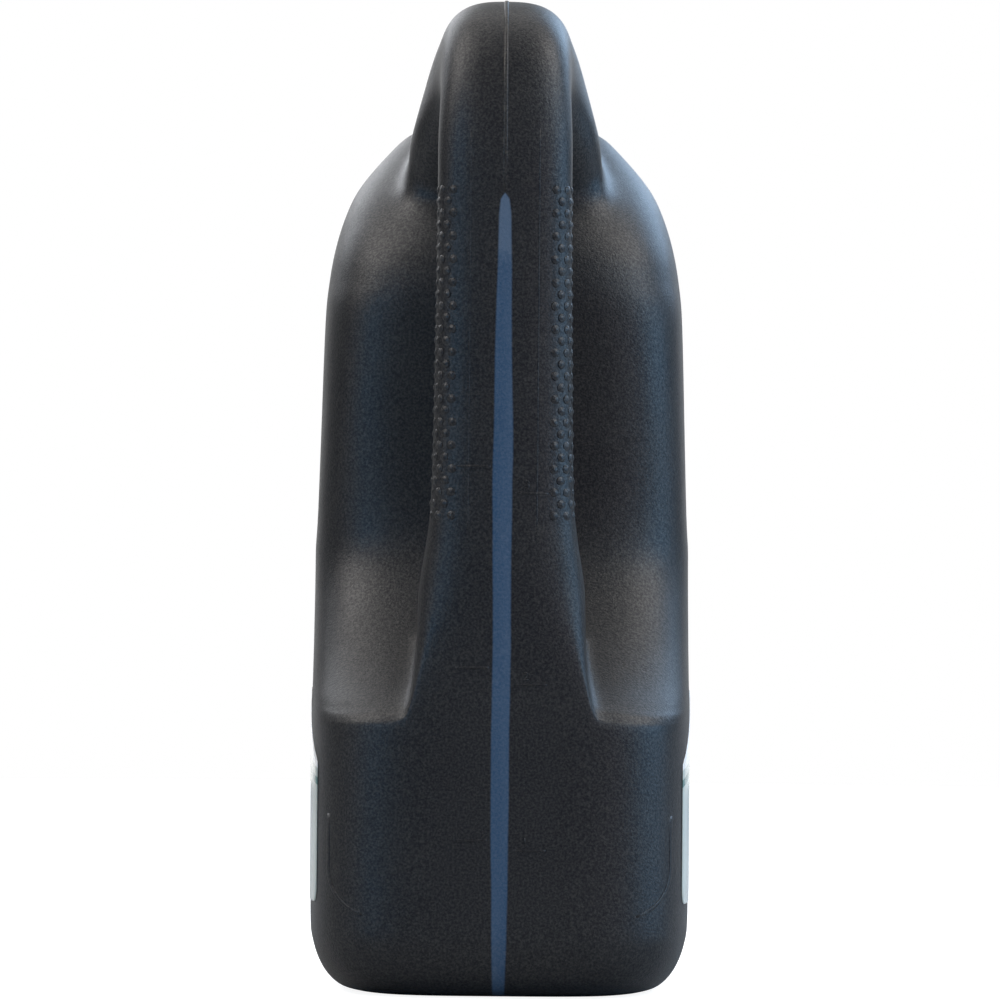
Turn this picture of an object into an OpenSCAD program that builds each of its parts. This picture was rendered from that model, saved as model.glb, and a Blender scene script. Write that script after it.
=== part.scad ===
// Transmission fluid bottle with a rear pour handle, blow moulded, millimetres.
// X is the narrow width, Y the depth with the handle at the minus end, Z is up.

/* [Body] */
// Width of the broad block, label face to label face
body_w = 114.8; // [106:0.2:126]
// Depth of the broad block, end wall to far wall
body_d = 200; // [184:1:216]
// Height of the ledge that the handle stands on
ledge_h = 92; // [84:1:98]
// Radius that rounds the end wall into the ledge
ledge_r = 10; // [8:1:14]
// Droop of the ledge towards the two corners of the end wall
ledge_droop = 8; // [0:1:10]
// Rise of the hollow behind the handle from the ledge to the wall
scoop_rise = 50; // [40:1:60]
// Height at which the shoulder starts to close
shoulder_start = 203; // [195:1:210]
// Height of the top of the shoulder, where the neck collar starts
shoulder_top = 262; // [256:1:268]
// Inward lean of each broad face between the ledge and the shoulder
draft = 2.2; // [1:0.1:3.4]
// Horizontal run of the rounded bottom edge
base_run = 12.5; // [11:0.5:18]
// Vertical rise of the rounded bottom edge
base_rise = 22; // [16:1:28]
// Depth of the push-up inside the standing ring
push_up = 3.5; // [2:0.5:5]
// Wall thickness of the moulding
wall = 1.2; // [1:0.1:2]

/* [Handle] */
// Height of the top of the handle arch
arch_h = 298; // [294:0.5:303]
// Width of the handle grip
handle_w = 40; // [34:1:44]
// Thickness of the handle grip, front to back
handle_t = 26.5; // [22:0.5:28]
// Finger gap between the handle and the body
finger_gap = 31; // [27:1:35]
// Width of the handle where it stands on the ledge
root_w = 57; // [50:1:62]
// Width of the arch where it joins the shoulder
tower_w = 60; // [54:1:64]
// Lean of the handle towards the body over its height
handle_lean = 3; // [0:0.5:5]

/* [Neck and cap] */
// Distance of the neck axis beyond the middle of the block
neck_y = 54; // [50:1:58]
// Diameter of the collar below the neck
collar_d = 41; // [40:0.5:44]
// Diameter of the neck at the root of its thread
neck_d = 34.8; // [34:0.2:35.4]
// Diameter of the pouring bore
bore_d = 31; // [28:0.5:31.5]
// Height of the neck above its collar
neck_h = 20.5; // [19:0.5:23]
// Clearance between the thread crests and the cap wall
thread_room = 2.1; // [1.9:0.1:2.4]
// Wall thickness of the cap skirt
cap_wall = 1.6; // [1.3:0.1:2]
// Height of the tamper band
band_h = 5.5; // [4.5:0.5:6]
// Gap between the tamper band and the cap, and under the band
band_gap = 0.3; // [0.2:0.1:0.5]
// Number of grip ribs around the cap
knurls = 60; // [40:4:72]
// Thickness of the sealing liner inside the cap
liner_t = 1.2; // [0.8:0.1:1.6]

/* [Fluid and labels] */
// Height of the fluid when the bottle is full
fluid_h = 221; // [216:1:225]
// Clearance between the fluid solid and the inside of the wall
fluid_gap = 0.4; // [0.3:0.1:0.8]
// Thickness of a label
label_t = 0.3; // [0.2:0.05:0.5]
// Width of a label
label_w = 154; // [130:1:160]
// Offset of a label towards the far wall
label_y = 3; // [0:1:6]
// Height of the lower edge of a label
label_low = 27; // [25:1:34]
// Height of the upper edge of a label
label_top = 90; // [86:1:92]

/* [Hidden] */

half_w = body_w / 2;
half_d = body_d / 2;
// columns around the body, and the front ones that stay on the near face
columns = 40;
front = 5;
root_cols = 3;
root_rows = 8;
arch_rows = 4;
around = 2 * (2 * root_cols + root_rows);
crowd = 4.5;
inner_y = -half_d + handle_t + finger_gap;
collar_r = collar_d / 2;
neck_r = neck_d / 2;
bore_r = bore_d / 2;
collar_top = shoulder_top + 6;
neck_top = collar_top + neck_h;
round_segments = 96;

// A body row: height, half width, near y, far y, y of the widest place,
// squareness of the near and far sides, half width of the front columns, droop at the near corners
function row(z, w, near, far, mid, sq_near, sq_far, face, droop = 0) =
    [z, w, near, far, mid, sq_near, sq_far, face, droop];
block_face = root_w / 2 * front / root_cols;
function block_row(z, run, square = 5) =
    row(z, half_w - run, -half_d + run, half_d - run, 0, square, square, block_face * (half_w - run) / half_w);

pushed = [
    block_row(push_up, base_run + 16, 3.4),
    block_row(push_up, base_run + 9, 3.6),
    block_row(0, base_run + 4, 3.9),
    block_row(0, base_run, 4.2)
];
rounded = [for (a = [18:18:90])
    block_row(base_rise * (1 - cos(a)), base_run * (1 - sin(a)), 4.2 + 0.8 * sin(a))];
block = [block_row((base_rise + ledge_h - ledge_r - 3) / 2, 0)];

// near profile of the ledge as y and z: the rounded edge, then the hollow that rises to the wall
ledge_edge = [for (a = [0, 22, 42, 60])
    [-half_d + ledge_r * (1 - cos(a)), ledge_h - ledge_r - 3 + ledge_r * sin(a)]];
ledge_out = -half_d + ledge_r * 0.86;
ledge_in = -half_d + handle_t + 9;
function scoop_z(y) = let (s = (y - ledge_out) / (inner_y - ledge_out))
    ledge_h - 2 + scoop_rise * (0.5 * s + 0.5 * (1 - sqrt(1 - s * s)));
ledge_flat = [for (i = [0:4]) let (y = ledge_out + (ledge_in - ledge_out) * i / 4) [y, scoop_z(y)]];
fillet = [for (t = [0.46, 0.77, 0.94]) let (y = ledge_in + (inner_y - ledge_in) * t) [y, scoop_z(y)]];
ledge_points = concat(ledge_edge, ledge_flat, fillet);
ledge = [for (p = ledge_points) let (t = (p[0] + half_d) / (inner_y + half_d))
    row(p[1], half_w, p[0], half_d, 14 * t, 5, 5, block_face * (1 - 0.15 * t),
        ledge_droop * (1 - t) * min(1, 0.4 + 8 * t))];

waist_z = ledge_h + scoop_rise;
upper = [for (t = [0, 0.5, 1]) let (z = waist_z + (shoulder_start - waist_z) * t)
    row(z, half_w - draft * (0.25 + 0.75 * t), inner_y, half_d - 0.3 * t, 22 + 6 * t, 5, 5 - 0.4 * t,
        42 - 8 * t)];

// shoulder: share of the rise, half width, near y, far y
rise = shoulder_top - fluid_h;
soft = [
    row(fluid_h - 8, half_w - draft - 0.8, inner_y + 0.6, half_d - 1, 30, 4.6, 4.4, 33),
    row(fluid_h, half_w - draft - 1.9, inner_y + 2.6, half_d - 2.2, 32, 4.4, 4.1, 32),
    row(fluid_h + rise * 0.19, half_w - draft - 3.6, inner_y + 6.6, half_d - 4, 35, 4.2, 3.8, 31.2)
];
tower_half = tower_w / 2;
closing = [
    row(fluid_h + rise * 0.36, half_w - draft - 5.8, inner_y + 13, half_d - 6.6, 38, 4.2, 3.5, tower_half + 4),
    row(fluid_h + rise * 0.53, half_w - draft - 8.8, inner_y + 24, half_d - 9.6, 42, 4.4, 3.2, tower_half + 3),
    row(fluid_h + rise * 0.69, half_w - draft - 13.4, inner_y + 36, half_d - 13.4, 46, 4.6, 2.9,
        tower_half + 1.5),
    row(fluid_h + rise * 0.85, tower_half + 6.2, inner_y + 49, half_d - 18, 50, 5, 2.6, tower_half * 0.95),
    row(shoulder_top, tower_half + 0.2, inner_y + 63, neck_y + collar_r + 2.5, neck_y, 5, 2.3,
        tower_half * 0.86)
];
collar = [
    row(collar_top - 3, collar_r + 2.2, neck_y - collar_r - 2.4, neck_y + collar_r + 1.2, neck_y, 2.6, 2.1,
        collar_r * 0.68),
    row(collar_top - 1.5, collar_r, neck_y - collar_r, neck_y + collar_r, neck_y, 2, 2, collar_r * 0.6),
    row(collar_top, collar_r, neck_y - collar_r, neck_y + collar_r, neck_y, 2, 2, collar_r * 0.6)
];

rows = concat(pushed, rounded, block, ledge, upper, soft, closing, collar);
root_row = len(pushed) + len(rounded) + len(block);
full_row = len(pushed) + len(rounded) + len(block) + len(ledge) + len(upper) + 1;
arch_row = full_row + 2;

// the far part of a row goes round by angle, closer together at the corners
function depth_at(x, w, square) = pow(max(0, 1 - pow(min(1, abs(x) / w), square)), 1 / square);
function around_point(r, a) = let (
        square = cos(a) > 0 ? r[5] : r[6],
        d = pow(pow(abs(sin(a)), square) + pow(abs(cos(a)), square), -1 / square))
    [r[1] * d * sin(a), r[4] - (cos(a) > 0 ? r[4] - r[2] : r[3] - r[4]) * d * cos(a), r[0]];
function body_point(r, j) = let (
        k = j > columns / 2 ? columns - j : j,
        side = j > columns / 2 ? -1 : 1,
        edge_x = r[7],
        edge_d = depth_at(edge_x, r[1], r[5]),
        edge_a = atan2(edge_x / r[1], edge_d),
        t = (k - front) / (columns / 2 - front),
        p = k <= front
            ? let (x = r[7] * k / front) [x, r[4] - (r[4] - r[2]) * depth_at(x, r[1], r[5]), r[0]]
            : around_point(r, edge_a + (180 - edge_a) * t + crowd * (sin(4 * (edge_a + (180 - edge_a) * t))
                - sin(4 * edge_a) * (1 - t))))
    [side * p[0], p[1],
        p[2] - r[8] * pow(abs(p[0]) / half_w, 3) * pow(max(0, (r[4] - p[1]) / (r[4] - r[2])), 4)];
body_grid = [for (r = rows) [for (j = [0:columns - 1]) body_point(r, j)]];

// handle sections: outer y z, inner y z, outer and inner half width, squareness
grip_half = handle_w / 2;
grip_low = ledge_h + 32;
bend_z = arch_h - 54;
lean_span = bend_z - grip_low;
function post(z, outer, inner) = let (y = -half_d + 0.8 + handle_lean * (z - grip_low) / lean_span)
    [[y, z], [y + handle_t - 0.8, z], grip_half + outer, grip_half + inner, 3.2];
top_y = -half_d + handle_lean;
gap_top = arch_h - 37.5;
grip = [
    post(grip_low, 3.6, 5),
    post(grip_low + 14, 1.9, 2.2),
    post(grip_low + 30, 0.9, 1),
    post((grip_low + 32 + fluid_h) / 2, 0.4, 0.4),
    post(fluid_h, 0, 0)
];
crest_half = grip_half - 0.9;
arch = [
    [[top_y + 0.8, bend_z], [top_y + handle_t, bend_z - 5], grip_half, grip_half, 3.2],
    [[top_y + 2.8, bend_z + 18], [top_y + handle_t + 2.4, bend_z + 5], grip_half, grip_half, 3.2],
    [[top_y + 7.4, arch_h - 21], [top_y + handle_t + 6.6, gap_top - 4.4], crest_half, grip_half, 3.2],
    [[top_y + 15.6, arch_h - 9.6], [top_y + handle_t + 12, gap_top - 1.2], crest_half, grip_half, 3.2],
    [[top_y + 27.6, arch_h - 2.4], [top_y + handle_t + 18, gap_top], crest_half, grip_half + 0.4, 2.9],
    [[top_y + 41.6, arch_h], [top_y + handle_t + 23.6, gap_top - 1.2], crest_half, grip_half + 2, 2.9],
    [[top_y + 58, arch_h - 0.8], [top_y + handle_t + 29.4, gap_top - 5], crest_half, grip_half + 5.4, 3.1],
    [[top_y + 76, arch_h - 3.2], [top_y + handle_t + 34.6, gap_top - 11], crest_half, tower_half + 0.8, 3.6],
    [[top_y + 94, arch_h - 7.6], [top_y + handle_t + 38.4, gap_top - 17], crest_half, tower_half + 3.6, 3.6]
];
sections = concat(grip, arch);
function section_point(s, k) = let (
        a = 360 * k / around,
        d = pow(pow(abs(sin(a)), s[4]) + pow(abs(cos(a)), s[4]), -1 / s[4]),
        v = d * cos(a),
        mid = (s[0] + s[1]) / 2,
        yz = mid + (s[0] - s[1]) / 2 * v,
        half = s[3] + (s[2] - s[3]) * (v + 1) / 2)
    [half * d * sin(a), yz[0], yz[1]];
function section_ring(s) = [for (k = [0:around - 1]) section_point(s, k)];

// rim of the opening that a block of missing squares leaves in the body grid,
// starting in the middle of its outer edge
function wrap(j) = (j + columns) % columns;
function rim(half, tall, outer, inward) = concat(
    [for (k = [0:half]) [outer, wrap(k)]],
    [for (k = [1:tall]) [outer + inward * k, wrap(half)]],
    [for (k = [half - 1:-1:-half]) [outer + inward * tall, wrap(k)]],
    [for (k = [tall - 1:-1:0]) [outer + inward * k, wrap(-half)]],
    [for (k = [-half + 1:-1]) [outer, wrap(k)]]);
root_rim = rim(root_cols, root_rows, root_row, 1);
arch_rim = rim(front, arch_rows, arch_row + arch_rows, -1);
function rim_points(list) = [for (c = list) body_grid[c[0]][c[1]]];

// cubic blend between two rings with a leaving and an arriving direction
function blend(p, q, u, v, t) =
    p * (2 * pow(t, 3) - 3 * t * t + 1) + u * (pow(t, 3) - 2 * t * t + t)
    + q * (3 * t * t - 2 * pow(t, 3)) + v * (pow(t, 3) - t * t);
steps = [0.25, 0.5, 0.75];
root_points = rim_points(root_rim);
arch_points = rim_points(arch_rim);
function share(k) = (1 + cos(360 * k / around)) / 2;
first_ring = section_ring(sections[0]);
last_ring = section_ring(sections[len(sections) - 1]);
before_last = section_ring(sections[len(sections) - 2]);
root_blend = [for (t = steps) [for (k = [0:around - 1])
    blend(root_points[k], first_ring[k],
        [-13 * sin(360 * k / around), -18 * pow(1 - share(k), 2),
            30 * pow(share(k), 2) - 6 * pow(1 - share(k), 2)],
        [-5 * sin(360 * k / around), 0, 26], t)]];
arch_blend = [for (t = steps) [for (k = [0:around - 1])
    blend(last_ring[k], arch_points[k],
        (last_ring[k] - before_last[k]) * 1.3,
        [12 * sin(360 * k / around), 22 * share(k) - 8, 2 * share(k) - 9], t)]];
tube = concat([root_points], root_blend, [for (s = sections) section_ring(s)], arch_blend, [arch_points]);

// unit normals from the four neighbours of each grid point
function unit(v) = v / max(norm(v), 1e-9);
function grid_normal(g, i, j) = let (n = len(g[0]), m = len(g) - 1)
    unit(cross(g[i][(j + 1) % n] - g[i][(j + n - 1) % n], g[min(i + 1, m)][j] - g[max(i - 1, 0)][j]));
body_normals = [for (i = [0:len(body_grid) - 1]) [for (j = [0:columns - 1]) grid_normal(body_grid, i, j)]];
tube_normals = [for (i = [0:len(tube) - 1]) [for (k = [0:around - 1]) grid_normal(tube, i, k)]];

function body_skin(depth, last) = [for (i = [0:last]) for (j = [0:columns - 1])
    body_grid[i][j] - body_normals[i][j] * depth];
function tube_skin(depth, last) = [for (i = [1:last]) for (k = [0:around - 1])
    tube[i][k] - tube_normals[i][k] * depth];

function inside_rim(i, j, outer, half, tall) = let (c = j < columns / 2 ? j : j - columns)
    i >= outer && i < outer + tall && c >= -half && c < half;
function quad(a, b, c, d) = [[a, b, c], [a, c, d]];
// faces of the body up to a row, and of the handle up to a ring
function body_faces(last) = [for (i = [0:last - 1]) for (j = [0:columns - 1])
    if (!inside_rim(i, j, root_row, root_cols, root_rows) && !inside_rim(i, j, arch_row, front, arch_rows))
        each let (k = (j + 1) % columns)
            quad(i * columns + j, (i + 1) * columns + j, (i + 1) * columns + k, i * columns + k)];
function tube_index(i, k, start) =
    i == 0 ? root_rim[k][0] * columns + root_rim[k][1]
    : i == len(tube) - 1 ? arch_rim[k][0] * columns + arch_rim[k][1]
    : start + (i - 1) * around + k;
function tube_faces(last, start) = [for (i = [0:last - 1]) for (k = [0:around - 1])
    each let (n = (k + 1) % around)
        quad(tube_index(i, k, start), tube_index(i + 1, k, start),
            tube_index(i + 1, n, start), tube_index(i, n, start))];
function flip(faces) = [for (f = faces) [f[2], f[1], f[0]]];
function shift(faces, by) = [for (f = faces) [for (v = f) v + by]];
function fan(centre, first, count, up) = [for (j = [0:count - 1]) let (n = (j + 1) % count)
    up ? [centre, first + n, first + j] : [centre, first + j, first + n]];

// closed skin of the moulding, open at the collar
top_row = len(rows) - 1;
body_count = len(rows) * columns;
skin_count = body_count + (len(tube) - 2) * around + 1;
function skin_points(depth) = concat(body_skin(depth, top_row), tube_skin(depth, len(tube) - 2),
    [[0, 0, rows[0][0] + depth]]);
skin_faces = concat(body_faces(top_row), tube_faces(len(tube) - 1, body_count),
    fan(skin_count - 1, 0, columns, false));
rim_faces = [for (j = [0:columns - 1]) each let (k = (j + 1) % columns, a = top_row * columns)
    quad(a + j, a + j + skin_count, a + k + skin_count, a + k)];

module moulding() {
    polyhedron(points = concat(skin_points(0), skin_points(wall)),
        faces = concat(skin_faces, shift(flip(skin_faces), skin_count), rim_faces), convexity = 10);
}

module on_neck(z) {
    translate([0, neck_y, z]) children();
}

// neck with a bead that holds the tamper band
module neck() {
    base = collar_top - 3;
    seat = collar_r - 0.8;
    bead = neck_r + 1.1;
    bead_z = collar_top + band_h - 1;
    on_neck(0) rotate_extrude($fn = round_segments) polygon([
        [bore_r - 1, base], [seat, base], [seat, collar_top + 0.6], [neck_r, collar_top + 1.2],
        [neck_r, bead_z - 0.6], [bead, bead_z], [bead, bead_z + 0.6], [neck_r, bead_z + 1.8],
        [neck_r, neck_top - 0.6], [neck_r - 0.6, neck_top], [bore_r - 1, neck_top]]);
}

module bottle() {
    color("#1d222b") difference() {
        union() {
            moulding();
            neck();
        }
        on_neck(collar_top - 8) cylinder(r = bore_r, h = neck_h + 12, $fn = round_segments);
    }
}

// fluid: the inside of the moulding up to the fill height
fluid_ring = 4 + len(grip) - 1;
fluid_tube = [for (i = [1:fluid_ring]) for (k = [0:around - 1])
    let (p = tube[i][k] - tube_normals[i][k] * (wall + fluid_gap))
        i == fluid_ring ? [p[0], p[1], fluid_h] : p];
fluid_body = [for (i = [0:full_row]) for (j = [0:columns - 1])
    let (p = body_grid[i][j] - body_normals[i][j] * (wall + fluid_gap))
        i == full_row ? [p[0], p[1], fluid_h] : p];
fluid_start = len(fluid_body);
fluid_count = fluid_start + len(fluid_tube);
fluid_fans = concat(
    fan(fluid_count, 0, columns, false),
    fan(fluid_count + 1, full_row * columns, columns, true),
    fan(fluid_count + 2, fluid_start + (fluid_ring - 1) * around, around, true));
fluid_centres = [
    [0, 0, push_up + wall + fluid_gap],
    [0, (rows[full_row][2] + rows[full_row][3]) / 2, fluid_h],
    [0, (grip[4][0][0] + grip[4][1][0]) / 2, fluid_h]
];
module fluid() {
    color("#a03028") polyhedron(points = concat(fluid_body, fluid_tube, fluid_centres),
        faces = concat(body_faces(full_row), tube_faces(fluid_ring, fluid_start), fluid_fans), convexity = 8);
}

// closure, measured up from the collar
crest_r = neck_r + thread_room;
cap_r = crest_r + cap_wall;
band_z = collar_top + 0.6 + band_gap;
cap_z = band_z + band_h + band_gap;
cap_top = neck_top + liner_t + cap_wall;

module tamper_band() {
    nib = neck_r + 0.35;
    color("#20242c") on_neck(0) rotate_extrude($fn = round_segments) polygon([
        [crest_r, band_z], [cap_r, band_z], [cap_r, band_z + band_h], [crest_r, band_z + band_h],
        [crest_r, band_z + 2.6], [nib, band_z + 3.1], [nib, band_z + 2.5], [crest_r, band_z + 1.1]]);
}

module screw_cap() {
    rib = 0.5;
    color("#20242c") difference() {
        union() {
            on_neck(0) rotate_extrude($fn = round_segments) polygon([
                [0, cap_z], [cap_r, cap_z], [cap_r, cap_top - 1.4], [cap_r - 1.4, cap_top], [0, cap_top]]);
            for (i = [0:knurls - 1])
                on_neck(cap_z + 1) rotate(360 * i / knurls) translate([cap_r, 0, 0])
                    cylinder(r = rib, h = cap_top - cap_z - 4, $fn = 6);
        }
        on_neck(cap_z - 1) cylinder(r = crest_r, h = cap_top - cap_wall - cap_z + 1, $fn = round_segments);
    }
}

module cap_liner() {
    color("#e4e2da") on_neck(neck_top) cylinder(r = crest_r - 0.3, h = liner_t, $fn = round_segments);
}

// a label follows the broad face, with round corners and a slanted cut at its near upper corner
label_columns = 16;
label_corner = 4;
label_air = 0.17;
cut_run = label_w / 4;
cut_rise = (label_top - label_low) / 3;
face_rows = concat([rounded[len(rounded) - 1]], block, ledge);
label_straight = [label_low + label_corner, label_top - cut_rise, label_top - label_corner];
label_rows = concat(
    [for (a = [0:45:90]) label_low + label_corner * (1 - cos(a))],
    [for (i = [1:3]) label_straight[0] + (label_straight[1] - label_straight[0]) * i / 3],
    [for (i = [1:3]) label_straight[1] + (label_straight[2] - label_straight[1]) * i / 4],
    [for (a = [90:-45:0]) label_top - label_corner * (1 - cos(a))]);
function round_off(z) = let (d = max(label_low + label_corner - z, z - label_top + label_corner, 0))
    label_corner - sqrt(max(label_corner * label_corner - d * d, 0));
function label_near(z) = label_y - label_w / 2 + round_off(z)
    + cut_run * max(0, z - label_top + cut_rise) / cut_rise;
function label_far(z) = label_y + label_w / 2 - round_off(z);
function row_x(r, y) = r[1] * (y > r[4]
    ? depth_at(y - r[4], r[3] - r[4], r[6])
    : depth_at(r[4] - y, r[4] - r[2], r[5]));
function face_x(y, z) = lookup(z, [for (r = face_rows) [r[0], row_x(r, y)]]) + label_air;
// columns stand closer together towards the rounded ends of the face
function label_share(i) = let (u = 2 * i / label_columns - 1) 0.5 + u * (5 - u * u) / 8;
function label_skin(side, extra) = [for (z = label_rows) for (i = [0:label_columns])
    let (y = label_near(z) + (label_far(z) - label_near(z)) * label_share(i))
        [side * (face_x(y, z) + extra), y, z]];
label_across = label_columns + 1;
label_last = len(label_rows) - 1;
label_count = label_across * len(label_rows);
label_faces = [for (i = [0:label_last - 1]) for (j = [0:label_columns - 1]) let (a = i * label_across + j)
    each quad(a, a + 1, a + label_across + 1, a + label_across)];
label_rim = concat(
    [for (j = [0:label_columns - 1]) [j, j + 1]],
    [for (i = [0:label_last - 1]) [i * label_across + label_columns, (i + 1) * label_across + label_columns]],
    [for (j = [label_columns:-1:1]) [label_last * label_across + j, label_last * label_across + j - 1]],
    [for (i = [label_last:-1:1]) [i * label_across, (i - 1) * label_across]]);
label_edge = [for (e = label_rim) each quad(e[0], e[0] + label_count, e[1] + label_count, e[1])];
module label(side) {
    skins = concat(label_faces, shift(flip(label_faces), label_count), label_edge);
    polyhedron(points = concat(label_skin(side, label_t), label_skin(side, 0)),
        faces = side > 0 ? flip(skins) : skins, convexity = 4);
}
module front_label() {
    color("#c9d2c8") label(1);
}
module back_label() {
    color("#c9d2c8") label(-1);
}

bottle();
fluid();
tamper_band();
screw_cap();
cap_liner();
front_label();
back_label();
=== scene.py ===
# A transmission fluid bottle seen from its handle end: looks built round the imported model, in metres.
import math

import bmesh
import bpy
import numpy as np
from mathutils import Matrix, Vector
from mathutils.bvhtree import BVHTree

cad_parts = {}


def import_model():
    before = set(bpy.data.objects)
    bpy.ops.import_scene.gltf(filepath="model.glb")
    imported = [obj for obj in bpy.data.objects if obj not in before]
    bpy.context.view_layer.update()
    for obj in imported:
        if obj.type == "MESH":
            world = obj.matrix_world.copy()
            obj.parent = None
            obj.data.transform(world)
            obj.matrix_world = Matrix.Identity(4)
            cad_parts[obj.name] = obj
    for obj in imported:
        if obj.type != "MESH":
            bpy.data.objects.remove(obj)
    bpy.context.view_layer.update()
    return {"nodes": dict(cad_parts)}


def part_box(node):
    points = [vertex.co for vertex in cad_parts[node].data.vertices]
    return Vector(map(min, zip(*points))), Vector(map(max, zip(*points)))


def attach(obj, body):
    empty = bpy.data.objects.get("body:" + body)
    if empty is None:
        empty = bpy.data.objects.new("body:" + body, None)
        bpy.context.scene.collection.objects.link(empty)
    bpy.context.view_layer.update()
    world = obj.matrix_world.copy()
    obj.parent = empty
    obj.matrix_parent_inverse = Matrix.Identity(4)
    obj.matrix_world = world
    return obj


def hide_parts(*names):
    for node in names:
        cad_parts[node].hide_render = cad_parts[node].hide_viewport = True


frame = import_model()

MM = 0.001

# The moulding's driving sizes, in millimetres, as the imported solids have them.
_, bottle_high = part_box("bottle")
band_low, band_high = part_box("tamper_band")
cap_low, cap_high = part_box("screw_cap")
liner_low, liner_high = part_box("cap_liner")
HALF_W = bottle_high[0] / MM
HALF_D = bottle_high[1] / MM
ARCH_H = bottle_high[2] / MM
NECK_Y = (cap_low[1] + cap_high[1]) / 2 / MM
NECK_TOP = liner_low[2] / MM
FLUID_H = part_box("fluid")[1][2] / MM
LEDGE_H = 92.0
LEDGE_R = 10.0
LEDGE_DROOP = 8.0
SCOOP_RISE = 50.0
SHOULDER_START = 203.0
SHOULDER_TOP = 262.0
DRAFT = 2.2
BASE_RUN = 12.5
BASE_RISE = 22.0
PUSH_UP = 3.5
WALL = 1.2
HANDLE_W = 40.0
HANDLE_T = 26.5
FINGER_GAP = 31.0
ROOT_W = 57.0
TOWER_W = 60.0
LEAN = 3.0
COLLAR_R = 20.5
NECK_R = 17.4
BORE_R = 15.5
COLLAR_TOP = SHOULDER_TOP + 6

INNER_Y = -HALF_D + HANDLE_T + FINGER_GAP  # the wall behind the finger gap
HANDLE_MID_Y = -HALF_D + HANDLE_T / 2 + 1.5  # the middle of the leaning grip

# The cage's columns and rows, which FINE doubles.
COLUMNS = 40  # all round
FRONT = 5  # half of those on the near face, and half the width of the arch's opening
ROOT_COLS = 3  # half the width of the root's opening
ROOT_ROWS = 8
ARCH_ROWS = 4
CROWD = 4.5  # degrees by which the columns crowd towards the corners
FINE = 2
STRAIGHT_ROWS = 4  # rows of the base that no curve goes through
FACE_HALF = ROOT_W / 2 * FRONT / ROOT_COLS  # half width of the near face

SOFT_ROUNDS = 10
SOFT_MOST = 0.6  # the most that one round moves a point, as a share of the way
SOFT_X = 56.0  # the scoop's head isn't softened further out than this


def near_depth(x, w, square):
    """How deep a superellipse of half width w is at x, as a share of its full depth."""
    return max(0.0, 1 - min(1.0, abs(x) / w) ** square) ** (1 / square)


def block_row(z, run, square=5.0):
    """A row of the plain block, drawn in by run on every side."""
    face = FACE_HALF * (HALF_W - run) / HALF_W
    return [z, HALF_W - run, -HALF_D + run, HALF_D - run, 0, square, square, face, 0]


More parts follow.
